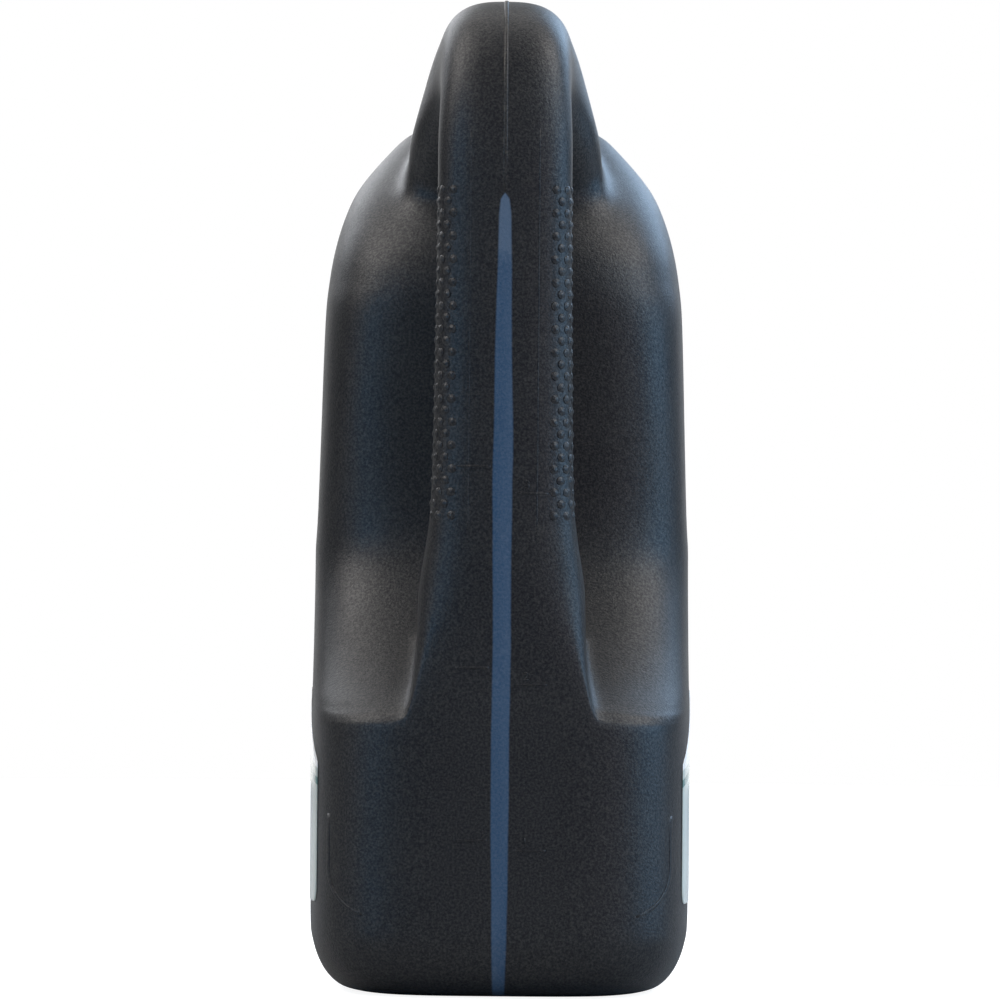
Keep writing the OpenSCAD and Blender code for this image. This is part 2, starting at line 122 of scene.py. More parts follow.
def body_rows():
    """Rows from the push-up to the collar: height, half width, near y, far y, y of the widest place,
    squareness of the near and far side, half width of the front columns, droop at the near corners."""
    rows = [
        block_row(PUSH_UP, BASE_RUN + 16, 3.4),
        block_row(PUSH_UP, BASE_RUN + 9, 3.6),
        block_row(0, BASE_RUN + 4, 3.9),
        block_row(0, BASE_RUN, 4.2),
    ]
    for a in range(18, 91, 18):
        s, c = math.sin(math.radians(a)), math.cos(math.radians(a))
        rows.append(block_row(BASE_RISE * (1 - c), BASE_RUN * (1 - s), 4.2 + 0.8 * s))
    rows.append(block_row((BASE_RISE + LEDGE_H - LEDGE_R - 3) / 2, 0))
    root_row = len(rows)

    out_y = -HALF_D + LEDGE_R * 0.86
    in_y = -HALF_D + HANDLE_T + 9

    def scoop(y):
        t = (y - out_y) / (INNER_Y - out_y)
        return y, LEDGE_H - 2 + SCOOP_RISE * (0.5 * t + 0.5 * (1 - math.sqrt(1 - t * t)))

    ledge = [(-HALF_D + LEDGE_R * (1 - math.cos(math.radians(a))),
              LEDGE_H - LEDGE_R - 3 + LEDGE_R * math.sin(math.radians(a))) for a in (0, 22, 42, 60)]
    ledge += [scoop(out_y + (in_y - out_y) * i / 4) for i in range(5)]
    ledge += [scoop(in_y + (INNER_Y - in_y) * t) for t in (0.46, 0.77, 0.94)]
    for y, z in ledge:
        t = (y + HALF_D) / (INNER_Y + HALF_D)
        rows.append([z, HALF_W, y, HALF_D, 14 * t, 5, 5, FACE_HALF * (1 - 0.15 * t),
                     LEDGE_DROOP * (1 - t) * min(1, 0.4 + 8 * t)])

    waist = LEDGE_H + SCOOP_RISE
    for t in (0, 0.5, 1):
        rows.append([waist + (SHOULDER_START - waist) * t, HALF_W - DRAFT * (0.25 + 0.75 * t), INNER_Y,
                     HALF_D - 0.3 * t, 22 + 6 * t, 6 - 0.6 * t, 5 - 0.4 * t, 42 - 8 * t, 0])
    w = HALF_W - DRAFT
    rise = SHOULDER_TOP - FLUID_H
    tower = TOWER_W / 2
    rows += [
        [FLUID_H - 8, w - 0.8, INNER_Y + 0.6, HALF_D - 1, 30, 4.6, 4.4, 33, 0],
        [FLUID_H, w - 1.9, INNER_Y + 2.6, HALF_D - 2.2, 32, 4.4, 4.1, 32, 0],
        [FLUID_H + rise * 0.19, w - 3.6, INNER_Y + 6.6, HALF_D - 4, 35, 4.2, 3.8, 31.2, 0],
    ]
    arch_row = len(rows)
    rows += [
        [FLUID_H + rise * 0.36, w - 5.8, INNER_Y + 13, HALF_D - 6.6, 38, 4.2, 3.5, tower + 4, 0],
        [FLUID_H + rise * 0.53, w - 8.8, INNER_Y + 24, HALF_D - 9.6, 42, 4.4, 3.2, tower + 3, 0],
        [FLUID_H + rise * 0.69, w - 13.4, INNER_Y + 36, HALF_D - 13.4, 46, 4.6, 2.9, tower + 1.5, 0],
        [FLUID_H + rise * 0.85, tower + 6.2, INNER_Y + 49, HALF_D - 18, 50, 5, 2.6, tower * 0.95, 0],
        [SHOULDER_TOP, tower + 0.2, INNER_Y + 63, NECK_Y + COLLAR_R + 2.5, NECK_Y, 5, 2.3, tower * 0.86,
         0],
        [COLLAR_TOP - 3, COLLAR_R + 2.2, NECK_Y - COLLAR_R - 2.4, NECK_Y + COLLAR_R + 1.2, NECK_Y, 2.6, 2.1,
         COLLAR_R * 0.68, 0],
        [COLLAR_TOP - 1.5, COLLAR_R, NECK_Y - COLLAR_R, NECK_Y + COLLAR_R, NECK_Y, 2, 2, COLLAR_R * 0.6, 0],
        [COLLAR_TOP, COLLAR_R, NECK_Y - COLLAR_R, NECK_Y + COLLAR_R, NECK_Y, 2, 2, COLLAR_R * 0.6, 0],
    ]
    return np.array(rows, float), root_row, arch_row


def between(rows, straight=0):
    """The same rows with one more between each two, on a smooth curve after the first straight ones."""
    out = []
    last = len(rows) - 1
    for i in range(last):
        out.append(rows[i])
        if i < straight or i == 0 or i == last - 1:
            out.append((rows[i] + rows[i + 1]) / 2)
        else:
            out.append((9 * (rows[i] + rows[i + 1]) - rows[i - 1] - rows[i + 2]) / 16)
    out.append(rows[last])
    return np.array(out)


def row_point(r, j):
    """Point j of a row, counted from the middle of the near side towards +X."""
    count, front = COLUMNS * FINE, FRONT * FINE
    k = count - j if j > count / 2 else j
    side = -1 if j > count / 2 else 1
    z, w, near, far, mid, sq_near, sq_far, face, droop = r
    if k <= front:
        x = face * k / front
        depth = near_depth(x, w, sq_near)
        return side * x, mid - (mid - near) * depth, z - droop * (x / HALF_W) ** 3 * depth**4
    edge = math.degrees(math.atan2(face / w, near_depth(face, w, sq_near)))
    t = (k - front) / (count / 2 - front)
    a = edge + (180 - edge) * t
    a += CROWD * (math.sin(math.radians(4 * a)) - math.sin(math.radians(4 * edge)) * (1 - t))
    s, c = math.sin(math.radians(a)), math.cos(math.radians(a))
    square = sq_near if c > 0 else sq_far
    d = (abs(s) ** square + abs(c) ** square) ** (-1 / square)
    reach = mid - near if c > 0 else far - mid
    return side * w * d * s, mid - reach * d * c, z - droop * (w * d * s / HALF_W) ** 3 * max(0, d * c) ** 4


def handle_sections():
    """Sections from the root to the arch: outer y z, inner y z, outer and inner half width, squareness."""
    grip_low = LEDGE_H + 32
    bend = ARCH_H - 54
    grip = HANDLE_W / 2
    crest = grip - 0.9
    tower = TOWER_W / 2
    top_y = -HALF_D + LEAN
    gap = ARCH_H - 37.5
    t = top_y + HANDLE_T

    def post(z, outer, inner):
        y = -HALF_D + 0.8 + LEAN * (z - grip_low) / (bend - grip_low)
        return [y, z, y + HANDLE_T - 0.8, z, grip + outer, grip + inner, 3.2]

    return np.array([
        post(grip_low, 3.6, 5),
        post(grip_low + 14, 1.9, 2.2),
        post(grip_low + 30, 0.9, 1),
        post((grip_low + 32 + FLUID_H) / 2, 0.4, 0.4),
        post(FLUID_H, 0, 0),
        [top_y + 0.8, bend, t, bend - 5, grip, grip, 3.2],
        [top_y + 2.8, bend + 18, t + 2.4, bend + 5, grip, grip, 3.2],
        [top_y + 7.4, ARCH_H - 21, t + 6.6, gap - 4.4, crest, grip, 3.2],
        [top_y + 15.6, ARCH_H - 9.6, t + 12, gap - 1.2, crest, grip, 3.2],
        [top_y + 27.6, ARCH_H - 2.4, t + 18, gap, crest, grip + 0.4, 2.9],
        [top_y + 41.6, ARCH_H, t + 23.6, gap - 1.2, crest, grip + 2, 2.9],
        [top_y + 58, ARCH_H - 0.8, t + 29.4, gap - 5, crest, grip + 5.4, 3.1],
        [top_y + 76, ARCH_H - 3.2, t + 34.6, gap - 11, crest, tower + 0.8, 3.6],
        [top_y + 94, ARCH_H - 7.6, t + 38.4, gap - 17, crest, tower + 3.6, 3.6],
    ], float)


def section_ring(s, around):
    """The points of one section of the handle, from its outer side round towards +X."""
    oy, oz, iy, iz, outer, inner, square = s
    ring = []
    for k in range(around):
        a = 2 * math.pi * k / around
        sn, cs = math.sin(a), math.cos(a)
        d = (abs(sn) ** square + abs(cs) ** square) ** (-1 / square)
        v = d * cs
        half = inner + (outer - inner) * (v + 1) / 2
        ring.append((half * d * sn, (oy + iy) / 2 + (oy - iy) / 2 * v,
                     (oz + iz) / 2 + (oz - iz) / 2 * v))
    return np.array(ring)


def rim(half, tall, outer, inward, count):
    """Grid places round the opening that missing squares leave, from the middle of its outer edge."""
    return ([(outer, k % count) for k in range(half + 1)]
            + [(outer + inward * k, half) for k in range(1, tall + 1)]
            + [(outer + inward * tall, k % count) for k in range(half - 1, -half - 1, -1)]
            + [(outer + inward * k, -half % count) for k in range(tall - 1, -1, -1)]
            + [(outer, k % count) for k in range(-half + 1, 0)])


def ring_blend(p, q, u, v, t):
    """A ring part of the way from p to q, on a cubic that leaves p along u and meets q along v."""
    return (p * (2 * t**3 - 3 * t * t + 1) + u * (t**3 - 2 * t * t + t)
            + q * (3 * t * t - 2 * t**3) + v * (t**3 - t * t))


def bell(values, middle, width):
    """1 at the middle and less on both sides of it."""
    return np.exp(-((values - middle) / width) ** 2)


def softness(points):
    """How far relax may soften each point: at the arch's join, and at the scoop's head and lip."""
    x, y, z = points.T
    join = bell(z, FLUID_H + 14, 16) * bell(np.abs(x), 30, 14) * bell(y, INNER_Y + 16, 26)
    head = bell(z, LEDGE_H + SCOOP_RISE - 4, 16) * bell(y, INNER_Y - 2, 12) * (np.abs(x) < SOFT_X)
    lip = bell(z, LEDGE_H - 6, 10) * bell(np.abs(x), 46, 16) * bell(y, -HALF_D + 6, 12)
    return np.clip(0.5 * join + 0.6 * head + 0.08 * lip, 0, SOFT_MOST)


def relax(points, faces, weights, rounds):
    """Moves each point part of the way to the middle of its neighbours."""
    pairs = np.array([(f[k], f[(k + 1) % len(f)]) for f in faces for k in range(len(f))])
    ends = np.concatenate([pairs, pairs[:, ::-1]])
    share = np.bincount(ends[:, 0], minlength=len(points))
    for _ in range(rounds):
        sums = [np.bincount(ends[:, 0], points[ends[:, 1], k], len(points)) for k in range(3)]
        middle = np.stack(sums, 1)
        middle /= np.maximum(share, 1)[:, None]
        moved = np.where(share[:, None] > 0, middle - points, 0)
        points += moved * weights[:, None]


def moulding_cage():
    """Points and squares of the bottle's outer skin, with the handle grown out of two openings in it."""
    rows, root_row, arch_row = body_rows()
    rows = between(rows, STRAIGHT_ROWS)
    rows[:, 0] = np.maximum(rows[:, 0], 0)
    root_row, arch_row = root_row * FINE, arch_row * FINE
    count = COLUMNS * FINE
    root_cols, root_rows = ROOT_COLS * FINE, ROOT_ROWS * FINE
    front, arch_rows = FRONT * FINE, ARCH_ROWS * FINE
    around = 2 * (2 * root_cols + root_rows)
    body = np.array([[row_point(r, j) for j in range(count)] for r in rows])
    root_rim = rim(root_cols, root_rows, root_row, 1, count)
    arch_rim = rim(front, arch_rows, arch_row + arch_rows, -1, count)
    root = np.array([body[c] for c in root_rim])
    arch = np.array([body[c] for c in arch_rim])

    sections = between(handle_sections())
    rings = [section_ring(s, around) for s in sections]
    a = 2 * np.pi * np.arange(around) / around
    share = (1 + np.cos(a)) / 2
    zero = np.zeros(around)
    leave_root = np.stack([-13 * np.sin(a), -18 * (1 - share) ** 2,
                           30 * share**2 - 6 * (1 - share) ** 2], 1)
    meet_post = np.stack([-5 * np.sin(a), zero, zero + 26], 1)
    leave_arch = (rings[-1] - rings[-2]) * 2.6
    meet_arch = np.stack([12 * np.sin(a), 22 * share - 8, 2 * share - 9], 1)
    steps = [i / (4 * FINE) for i in range(1, 4 * FINE)]
    tube = ([ring_blend(root, rings[0], leave_root, meet_post, t) for t in steps] + rings
            + [ring_blend(rings[-1], arch, leave_arch, meet_arch, t) for t in steps])

    start = len(rows) * count
    points = np.concatenate([body.reshape(-1, 3)] + tube)
    faces = []
    for i in range(len(rows) - 1):
        for j in range(count):
            c = j if j < count / 2 else j - count
            in_root = root_row <= i < root_row + root_rows and -root_cols <= c < root_cols
            in_arch = arch_row <= i < arch_row + arch_rows and -front <= c < front
            if not in_root and not in_arch:
                k = (j + 1) % count
                low, high = i * count, (i + 1) * count
                faces.append((low + j, low + k, high + k, high + j))

    def index(i, k):
        if i == 0:
            return root_rim[k][0] * count + root_rim[k][1]
        if i == len(tube) + 1:
            return arch_rim[k][0] * count + arch_rim[k][1]
        return start + (i - 1) * around + k

    for i in range(len(tube) + 1):
        for k in range(around):
            n = (k + 1) % around
            faces.append((index(i, k), index(i, n), index(i + 1, n), index(i + 1, k)))
    faces.append(tuple(range(count - 1, -1, -1)))
    relax(points, faces[:-1], softness(points), SOFT_ROUNDS)
    return points * MM, faces


def ring_faces(rings, sides, wrap=False):
    """Squares between each ring of points and the next, with wrap from the last to the first too."""
    faces = []
    for i in range(rings if wrap else rings - 1):
        low, high = i * sides, (i + 1) % rings * sides
        for s in range(sides):
            e = (s + 1) % sides
            faces.append((low + s, low + e, high + e, high + s))
    return faces


def rod_faces(rings, sides):
    """The same squares, closed by a face at either end."""
    last = (rings - 1) * sides
    return ring_faces(rings, sides) + [tuple(range(sides)), tuple(last + k for k in reversed(range(sides)))]


def mesh_object(name, points, faces):
    """A smooth object of these points and faces, with its normals outwards."""
    mesh = bpy.data.meshes.new(name)
    mesh.from_pydata([tuple(p) for p in points], [], faces)
    mesh.validate()
    bm = bmesh.new()
    bm.from_mesh(mesh)
    bmesh.ops.remove_doubles(bm, verts=bm.verts, dist=1e-7)
    bmesh.ops.recalc_face_normals(bm, faces=bm.faces)
    bm.to_mesh(mesh)
    bm.free()
    mesh.polygons.foreach_set("use_smooth", [True] * len(mesh.polygons))
    obj = bpy.data.objects.new(name, mesh)
    bpy.context.scene.collection.objects.link(obj)
    return obj


def place(obj, body, material):
    """Gives a piece its material and lets it ride its body."""
    obj.data.materials.clear()
    obj.data.materials.append(material)
    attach(obj, body)


def evaluated_tree(obj):
    """The object's surface, with its modifiers, for rays."""
    graph = bpy.context.evaluated_depsgraph_get()
    done = obj.evaluated_get(graph)
    mesh = done.to_mesh()
    tree = BVHTree.FromPolygons([v.co.copy() for v in mesh.vertices],
                                [tuple(p.vertices) for p in mesh.polygons])
    done.to_mesh_clear()
    return tree


# Materials.

def new_material(name, color, roughness):
    """A plain material. Its colour stands where no node takes over."""
    material = bpy.data.materials.new(name)
    material.use_nodes = True
    inputs = material.node_tree.nodes["Principled BSDF"].inputs
    inputs["Base Color"].default_value = color
    inputs["Roughness"].default_value = roughness
    return material


class Graph:
    """Short forms for making and joining shader nodes."""

    def __init__(self, material):
        self.tree = material.node_tree
        self.shader = self.tree.nodes["Principled BSDF"]
        self.coords = self.tree.nodes.new("ShaderNodeTexCoord")

    def link(self, out, into):
        self.tree.links.new(out, into)

    def node(self, kind, **values):
        made = self.tree.nodes.new("ShaderNode" + kind)
        for key, value in values.items():
            setattr(made, key, value)
        return made

    def feed(self, value, into):
        if isinstance(value, (int, float, tuple)):
            into.default_value = value
        else:
            self.link(value, into)

    def math(self, operation, a, b=0.0, clamp=False):
        made = self.node("Math", operation=operation, use_clamp=clamp)
        self.feed(a, made.inputs[0])
        self.feed(b, made.inputs[1])
        return made.outputs[0]

    def noise(self, scale, detail=2.0, rough=0.5, stretch=(1, 1, 1)):
        scaled = self.node("Mapping")
        scaled.inputs["Scale"].default_value = stretch
        self.link(self.coords.outputs["Object"], scaled.inputs["Vector"])
        made = self.node("TexNoise")
        made.inputs["Scale"].default_value = scale
        made.inputs["Detail"].default_value = detail
        made.inputs["Roughness"].default_value = rough
        self.link(scaled.outputs[0], made.inputs["Vector"])
        return made.outputs["Fac"]

    def axes(self):
        split = self.node("SeparateXYZ")
        self.link(self.coords.outputs["Object"], split.inputs[0])
        return split.outputs[0], split.outputs[1], split.outputs[2]

    def span(self, value, low, high, to_low=0.0, to_high=1.0, smooth=True):
        made = self.node("MapRange", interpolation_type="SMOOTHSTEP" if smooth else "LINEAR")
        self.feed(value, made.inputs["Value"])
        self.feed(low, made.inputs["From Min"])
        self.feed(high, made.inputs["From Max"])
        made.inputs["To Min"].default_value = to_low
        made.inputs["To Max"].default_value = to_high
        return made.outputs["Result"]

    def mix(self, factor, a, b, clamp=True):
        made = self.node("Mix", data_type="RGBA", clamp_factor=clamp)
        self.feed(factor, made.inputs["Factor"])
        self.feed(a, made.inputs[6])
        self.feed(b, made.inputs[7])
        return made.outputs[2]

    def bump(self, height, distance, strength, under=None):
        made = self.node("Bump")
        made.inputs["Strength"].default_value = strength
        made.inputs["Distance"].default_value = distance
        self.link(height, made.inputs["Height"])
        if under is not None:
            self.link(under, made.inputs["Normal"])
        return made.outputs["Normal"]


NAVY = (0.0052, 0.0062, 0.0088, 1)
NAVY_WORN = (0.013, 0.0128, 0.0132, 1)
STRIPE = (0.030, 0.078, 0.150, 1)
STRIPE_EMPTY = (0.095, 0.145, 0.215, 1)

# The view stripe's half width in millimetres at heights in metres.
STRIPE_SHAPE = [(0.0, 1.75), (0.017, 2.2), (0.060, 2.65), (0.119, 2.65), (0.160, 2.95), (0.178, 2.65),
                (0.207, 2.2), (0.2325, 1.75), (0.2372, 1.2), (0.2385, 0.0)]
STRIPE_RANGE_Z = 0.30  # the height and the half width that the curve's ends stand for
STRIPE_RANGE_HALF = 4.0
STRIPE_EDGE = 0.00035  # softness of its sides
STRIPE_WANDER = 0.0011
STRIPE_TOP = (0.2384, 0.2390)  # between these heights it ends
STRIPE_BACK = (-0.084, -0.080)  # between these depths it ends
LEVEL_BLUR = 0.004


def stripe_mask(g, middle, y, z):
    """1 inside the view stripe and 0 outside it. middle is the distance from its wavy centre line."""
    width = g.node("FloatCurve")
    curve = width.mapping.curves[0]
    while len(curve.points) < len(STRIPE_SHAPE):
        curve.points.new(0.5, 0.5)
    for point, (at, half) in zip(curve.points, STRIPE_SHAPE):
        point.location = (at / STRIPE_RANGE_Z, half / STRIPE_RANGE_HALF)
        point.handle_type = "VECTOR"
    width.mapping.update()
    g.link(g.math("DIVIDE", z, STRIPE_RANGE_Z), width.inputs["Value"])
    half = g.math("MULTIPLY", width.outputs[0], STRIPE_RANGE_HALF * MM)
    across = g.span(g.math("SUBTRACT", half, middle), -STRIPE_EDGE, STRIPE_EDGE)
    near = g.span(y, *STRIPE_BACK, 1.0, 0.0)
    below = g.span(z, *STRIPE_TOP, 1.0, 0.0)
    return g.math("MULTIPLY", g.math("MULTIPLY", across, near), below)


def seam_flecks(g, middle, y, z):
    """Pale flecks along the parting seam, above the stripe and on the near side only."""
    seam = g.math("MULTIPLY", g.span(middle, 0.0006, 0.0011, 1.0, 0.0), g.span(z, 0.236, 0.242))
    near = g.math("MULTIPLY", seam, g.span(y, -0.03, -0.02, 1.0, 0.0))
    return g.math("MULTIPLY", near, g.span(g.noise(900, 3, 0.7, (1, 0.5, 0.5)), 0.5, 0.62, 0.3, 3.0))


def navy_plastic():
    """Satin navy polyethylene with a fine sand texture, faint scuffs and the lighter stripe in it."""
    material = new_material("navy_plastic", NAVY, 0.42)
    g = Graph(material)
    x, y, z = g.axes()
    wave = g.math("MULTIPLY", g.math("SUBTRACT", g.noise(22, 2), 0.5), STRIPE_WANDER)
    middle = g.math("ABSOLUTE", g.math("ADD", x, wave))

    cloud = g.noise(38, 4, 0.6)
    sand = g.noise(1350, 2, 0.7)
    scuff = g.span(g.noise(260, 3, 0.7, (1, 1, 0.25)), 0.66, 0.78)
    speckle = g.span(sand, 0.40, 0.72, 0.0, 1.8)
    pale = g.math("ADD", g.span(cloud, 0.3, 0.75, 0.0, 0.5), g.math("MULTIPLY", scuff, 0.35))
    pale = g.math("ADD", g.math("ADD", pale, speckle), seam_flecks(g, middle, y, z))
    navy = g.mix(pale, NAVY, NAVY_WORN, False)

    level = g.span(z, FLUID_H * MM - LEVEL_BLUR, FLUID_H * MM + LEVEL_BLUR)
    streaks = g.span(g.noise(60, 3, 0.6, (2.5, 1, 0.12)), 0.25, 0.75, 0.0, 0.35)
    streaks = g.math("ADD", streaks, g.math("MULTIPLY", speckle, 0.14))
    blue = g.mix(g.math("ADD", level, streaks, clamp=True), STRIPE, STRIPE_EMPTY)
    g.link(g.mix(stripe_mask(g, middle, y, z), navy, blue), g.shader.inputs["Base Color"])

    rough = g.span(cloud, 0.25, 0.8, 0.42, 0.49)
    g.link(g.math("ADD", rough, g.math("MULTIPLY", scuff, 0.12)), g.shader.inputs["Roughness"])
    g.link(g.span(sand, 0.30, 0.70, 0.30, 0.70, False), g.shader.inputs["Specular IOR Level"])
    grain = g.bump(g.noise(1700, 2, 0.6), 0.00014, 0.9)
    g.link(g.bump(g.noise(45, 2, 0.5), 0.0006, 0.25, grain), g.shader.inputs["Normal"])
    return material


def closure_plastic():
    """Satin near black plastic for the cap and its band, a little cloudy."""
    material = new_material("closure_plastic", (0.012, 0.014, 0.019, 1), 0.38)
    g = Graph(material)
    cloud = g.noise(90, 3, 0.6)
    color = g.mix(g.span(cloud, 0.3, 0.8, 0.0, 0.6), (0.011, 0.013, 0.018, 1), (0.02, 0.022, 0.028, 1))
    g.link(color, g.shader.inputs["Base Color"])
    g.link(g.span(cloud, 0.3, 0.8, 0.32, 0.46), g.shader.inputs["Roughness"])
    g.link(g.bump(g.noise(1800, 2), 0.00004, 0.4), g.shader.inputs["Normal"])
    return material


def liner_foam():
    """Off white foam with fine cells."""
    material = new_material("liner_foam", (0.78, 0.77, 0.73, 1), 0.75)
    g = Graph(material)
    cells = g.node("TexVoronoi")
    cells.inputs["Scale"].default_value = 1400
    g.link(g.coords.outputs["Object"], cells.inputs["Vector"])
    g.link(g.bump(cells.outputs["Distance"], 0.00008, 0.6), g.shader.inputs["Normal"])
    color = g.mix(g.noise(120, 3), (0.80, 0.79, 0.74, 1), (0.70, 0.69, 0.66, 1))
    g.link(color, g.shader.inputs["Base Color"])
    return material


def fluid_red():
    """The red fluid, seen only with the bottle taken away."""
    material = new_material("fluid_red", (0.30, 0.02, 0.015, 1), 0.08)
    g = Graph(material)
    color = g.mix(g.noise(12, 2), (0.30, 0.018, 0.012, 1), (0.24, 0.014, 0.012, 1))
    g.link(color, g.shader.inputs["Base Color"])
    g.link(g.bump(g.noise(30, 2), 0.0004, 0.2), g.shader.inputs["Normal"])
    return material


BORDER_SLOPE = 0.16
BORDER_Z = 0.079  # height of the border at the middle of the bottle
RULE_DROP = 0.004  # from the border down to the rule
RULE_HALF = 0.0010
PRINT_EDGE = 0.0003


def label_film():
    """Blank film label: a pale field above a slanted border and a grey green field below it."""
    material = new_material("label_film", (0.60, 0.66, 0.60, 1), 0.32)
    g = Graph(material)
    _, y, z = g.axes()
    border = g.math("ADD", g.math("MULTIPLY", y, BORDER_SLOPE), BORDER_Z)
    upper = g.span(g.math("SUBTRACT", z, border), -PRINT_EDGE, PRINT_EDGE)
    from_rule = g.math("ABSOLUTE", g.math("SUBTRACT", z, g.math("SUBTRACT", border, RULE_DROP)))
    rule = g.span(from_rule, RULE_HALF, RULE_HALF + PRINT_EDGE, 1.0, 0.0)
    fields = g.mix(upper, (0.58, 0.62, 0.56, 1), (0.93, 0.92, 0.89, 1))
    g.link(g.mix(rule, fields, (0.20, 0.30, 0.27, 1)), g.shader.inputs["Base Color"])
    g.link(g.span(g.noise(60, 3), 0.3, 0.8, 0.10, 0.20), g.shader.inputs["Roughness"])
    g.link(g.bump(g.noise(70, 2), 0.0003, 0.2), g.shader.inputs["Normal"])
    return material


# The moulding.

def bottle_shell(material):
    """The skin of the moulding, rounded off and given its wall."""
    shell = mesh_object("bottle_shell", *moulding_cage())
    smooth = shell.modifiers.new("smooth", "SUBSURF")
    smooth.levels = smooth.render_levels = 1
    thick = shell.modifiers.new("wall", "SOLIDIFY")
    thick.thickness = WALL * MM
    thick.offset = -1
    place(shell, "bottle_body", material)
    return shell


def lathe(name, profile, segments, reach=None):
    """Turns a closed outline of radius and height about the neck. reach(r, z, angle) changes radii."""
    points = []
    for s in range(segments):
        t = 2 * math.pi * s / segments
        for r, z in profile:
            q = reach(r, z, t) if reach else r
            points.append((q * math.sin(t) * MM, (NECK_Y + q * math.cos(t)) * MM, z * MM))
    return mesh_object(name, points, ring_faces(segments, len(profile), wrap=True))


PITCH = 4.2
THREAD_START = COLLAR_TOP + 10.2
THREAD_STEPS = 72
THREAD_FADE = 0.08


def thread(name, root, crest, start_z, turns, base_w, top_w):
    """A helical ridge that fades in and out at its ends, from the root radius to the crest radius."""
    steps = int(turns * THREAD_STEPS)
    points = []
    for i in range(steps + 1):
        turn = turns * i / steps
        a = -2 * math.pi * turn
        fade = min(1.0, turn / THREAD_FADE, (turns - turn) / THREAD_FADE)
        fade = math.sqrt(max(fade, 0.0)) * 0.98 + 0.02
        z = start_z + PITCH * turn
        top = root + (crest - root) * fade
        tip = top_w / 2 * fade
        across = ((root, -base_w / 2), (top, -tip), (top, tip), (root, base_w / 2))
        for r, dz in across:
            points.append((r * math.sin(a) * MM, (NECK_Y + r * math.cos(a)) * MM, (z + dz) * MM))
    return mesh_object(name, points, rod_faces(steps + 1, len(across)))


def neck_finish(material):
    """The neck above the collar, with its support bead, and the thread round it."""
    bead = NECK_R + 1.1
    bead_z = COLLAR_TOP + 4.5
    outline = [
        (BORE_R, COLLAR_TOP - 4), (COLLAR_R - 0.8, COLLAR_TOP - 4), (COLLAR_R - 0.8, COLLAR_TOP + 0.5),
        (COLLAR_R - 1.3, COLLAR_TOP + 0.9), (NECK_R + 0.4, COLLAR_TOP + 1.1), (NECK_R, COLLAR_TOP + 1.6),
        (NECK_R, bead_z - 0.7), (bead - 0.2, bead_z - 0.2), (bead, bead_z + 0.1), (bead, bead_z + 0.5),
        (NECK_R + 0.2, bead_z + 1.8), (NECK_R, bead_z + 2.2), (NECK_R, NECK_TOP - 0.7),
        (NECK_R - 0.2, NECK_TOP - 0.2), (NECK_R - 0.7, NECK_TOP), (BORE_R + 0.3, NECK_TOP),
        (BORE_R, NECK_TOP - 0.3),
    ]
    neck = lathe("neck_finish", outline, 128)
    ridge = thread("neck_thread", NECK_R - 0.2, NECK_R + 1.35, THREAD_START, 1.5, 2.0, 0.9)
    for piece in (neck, ridge):
        place(piece, "bottle_body", material)


def ray(tree, origin, direction):
    """The first hit and its normal, turned against the ray, or None."""
    hit, normal, _, _ = tree.ray_cast(Vector(origin), Vector(direction))
    if hit is None:
        return None
    if normal.dot(Vector(direction)) > 0:
        normal = -normal
    return hit, normal


DOME_SINK = 0.05


def dome(centre, normal, radius, height, rings=4, sides=10):
    """Points and faces of a low round dome on a surface, closed below."""
    n = Vector(normal).normalized()
    u = n.orthogonal().normalized()
    v = n.cross(u)
    points = []
    for i in range(rings):
        r = radius * (1 - i / rings)
        h = height * (0.5 - 0.5 * math.cos(math.pi * i / rings)) - (DOME_SINK * MM if i == 0 else 0)
        for s in range(sides):
            t = 2 * math.pi * s / sides
            points.append(Vector(centre) + u * (r * math.cos(t)) + v * (r * math.sin(t)) + n * h)
    points.append(Vector(centre) + n * height)
    last, tip = (rings - 1) * sides, len(points) - 1
    faces = ring_faces(rings, sides)
    faces += [(last + s, last + (s + 1) % sides, tip) for s in range(sides)]
    faces.append(tuple(reversed(range(sides))))
    return points, faces


DOT_R = 1.5
DOT_H = 0.42
DOT_RISE = 3.45  # from one row to the next
DOT_ARC = 2.2425  # from one column to the next, of which each row has every second one
DOT_LOW = 143.0
DOT_HIGH = 243.0
DOT_COLUMNS = 6
DOT_FIRST = 15.1  # how far out the first column starts
CORNER_REACH = 0.06  # rays at the handle start this far from its middle, in metres


def grip_dots(tree, material):
    """Staggered raised dots round both front corners of the handle."""
    dots = []
    for i in range(int((DOT_HIGH - DOT_LOW) / DOT_RISE) + 1):
        for side in (-1, 1):
            walk = front_corner(tree, DOT_LOW + i * DOT_RISE, side)
            for c in range(i % 2, DOT_COLUMNS, 2):
                at = walk(c * DOT_ARC)
                if at is not None:
                    dots.append(dome(at[0], at[1], DOT_R * MM, DOT_H * MM))
    place(join_parts("grip_dots", dots), "bottle_body", material)


def front_corner(tree, z, side):
    """A function that walks from the first dot column round the handle's front corner by arc length."""
    middle = Vector((0, HANDLE_MID_Y * MM, z * MM))
    path = []
    for angle in range(20, 141):
        a = math.radians(angle)
        d = Vector((side * math.sin(a), -math.cos(a), 0))
        got = ray(tree, middle + d * CORNER_REACH, -d)
        if got is not None:
            path.append(got)
    start = next((i for i, (p, _) in enumerate(path) if abs(p.x) >= DOT_FIRST * MM), 0)

    def walk(length):
        left = length * MM
        for (p, n), (q, _) in zip(path[start:], path[start + 1:]):
            step = (q - p).length
            if left <= step:
                return p.lerp(q, left / max(step, 1e-9)), n
            left -= step
        return None

    return walk


